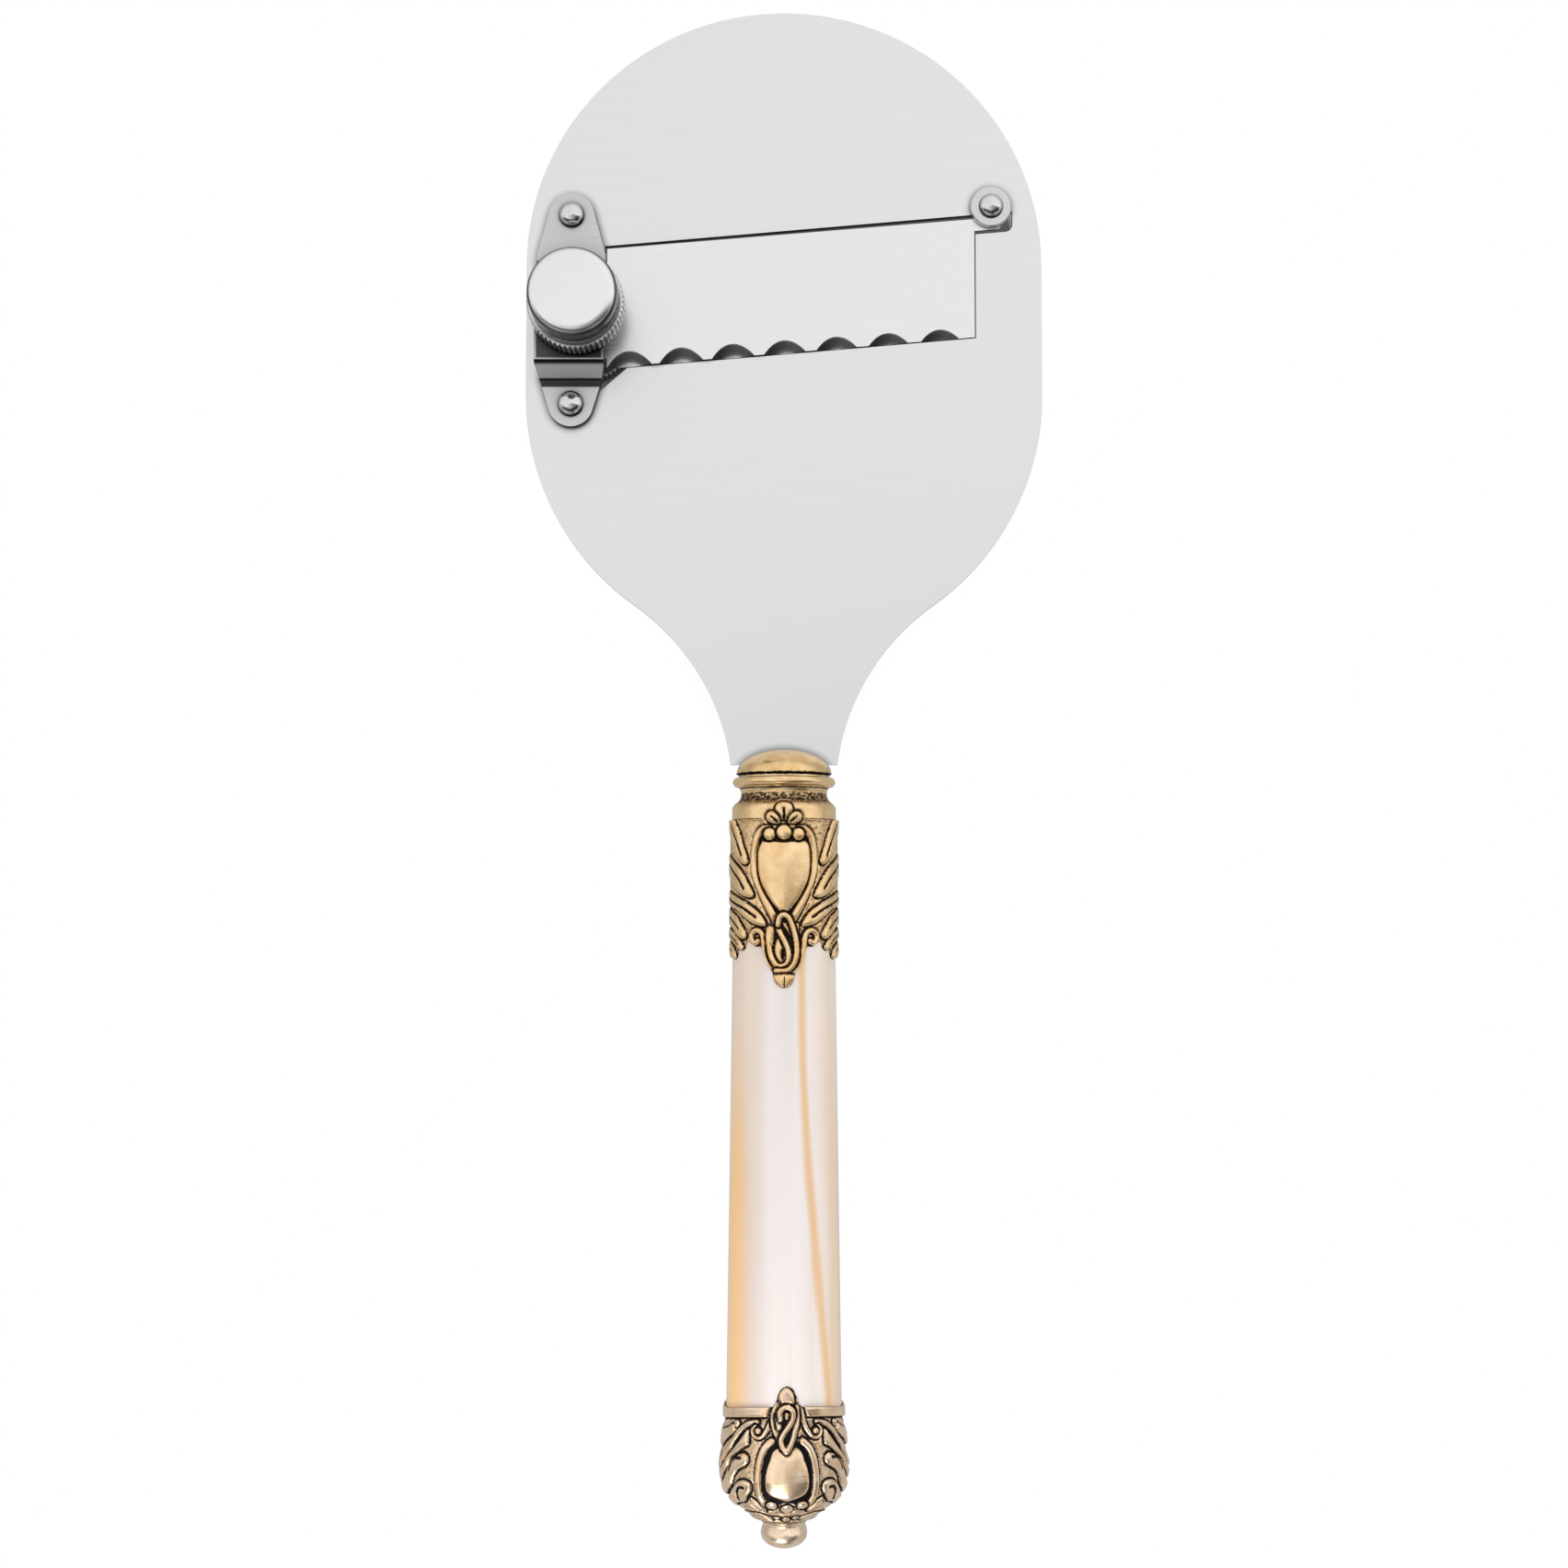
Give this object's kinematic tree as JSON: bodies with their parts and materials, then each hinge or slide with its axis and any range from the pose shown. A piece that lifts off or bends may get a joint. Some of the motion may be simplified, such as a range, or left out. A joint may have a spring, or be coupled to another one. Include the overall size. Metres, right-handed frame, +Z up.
{
  "type": "truffle slicer",
  "caption": "Hand-held truffle slicer: round-tipped steel paddle with a pivoted scalloped blade, a knurled height knob on a bridge, and a capped ornamental handle.",
  "frame": {"origin": "bottom centre of the overall box, with the slicer lying face up", "axes": "+Y along the slicer from the pommel to the rounded tip, +X to the right across the paddle, +Z up out of the paddle's face"},
  "size_m": [0.085, 0.2504, 0.0274],
  "materials": {
    "brushed_sheet": "finely brushed stainless sheet",
    "ground_blade": "ground blade steel with hollow-ground bevels",
    "satin_turned": "satin turned and knurled stainless",
    "polished_rivet": "polished domed rivets",
    "plain_steel": "plain inner steel hardware",
    "antique_gold": "cast brass, gilt, with a dark patina in the recesses",
    "pale_gold": "cast brass, pale rose gilt, with a dark patina in the recesses",
    "pearl_acrylic": "glossy ivory pearl acrylic with amber streaks",
    "grey_seal": "plain sealing washer"
  },
  "bodies": {
    "frame": {"slicer_plate": "brushed_sheet", "bridge_bracket": "brushed_sheet", "bracket_rivets": "polished_rivet", "blade_rivet": "polished_rivet", "rivet_washer": "satin_turned", "ferrule_dome": "antique_gold", "ferrule_collar": "antique_gold", "upper_ferrule": "antique_gold", "upper_seal": "grey_seal", "handle_grip": "pearl_acrylic", "lower_seal": "grey_seal", "tang_coupler": "plain_steel", "tang_pin": "plain_steel", "tie_rod": "plain_steel", "pommel_nut": "plain_steel", "pommel_cap": "pale_gold", "pommel_finial": "pale_gold"},
    "knob": {"knob_cap": "satin_turned", "knob_wheel": "satin_turned", "knob_spindle": "plain_steel", "spindle_clip": "plain_steel", "knob_washer": "plain_steel"},
    "blade": {"blade": "ground_blade", "blade_bush": "plain_steel"},
    "lock_wheel": {"lock_wheel": "satin_turned"}
  },
  "joints": [
    {"name": "knob_turn", "type": "hinge", "parent": "frame", "child": "knob", "pos_m": [-0.0336, 0.0741, 0.0109], "axis": [0, 0, 1], "range_deg": [-720, 720]},
    {"name": "blade_lift", "type": "hinge", "parent": "frame", "child": "blade", "pos_m": [0.03415, 0.0923, 0.0109], "axis": [-0.0863, 0.9963, 0], "range_deg": [-1.2, 1.2]},
    {"name": "lock_turn", "type": "hinge", "parent": "blade", "child": "lock_wheel", "pos_m": [-0.0336, 0.0741, 0.002], "axis": [0, 0, 1], "range_deg": [-180, 180]}
  ],
  "couplings": [
    {"joint": "blade_lift", "follows": "knob_turn", "ratio": -0.001613}
  ]
}
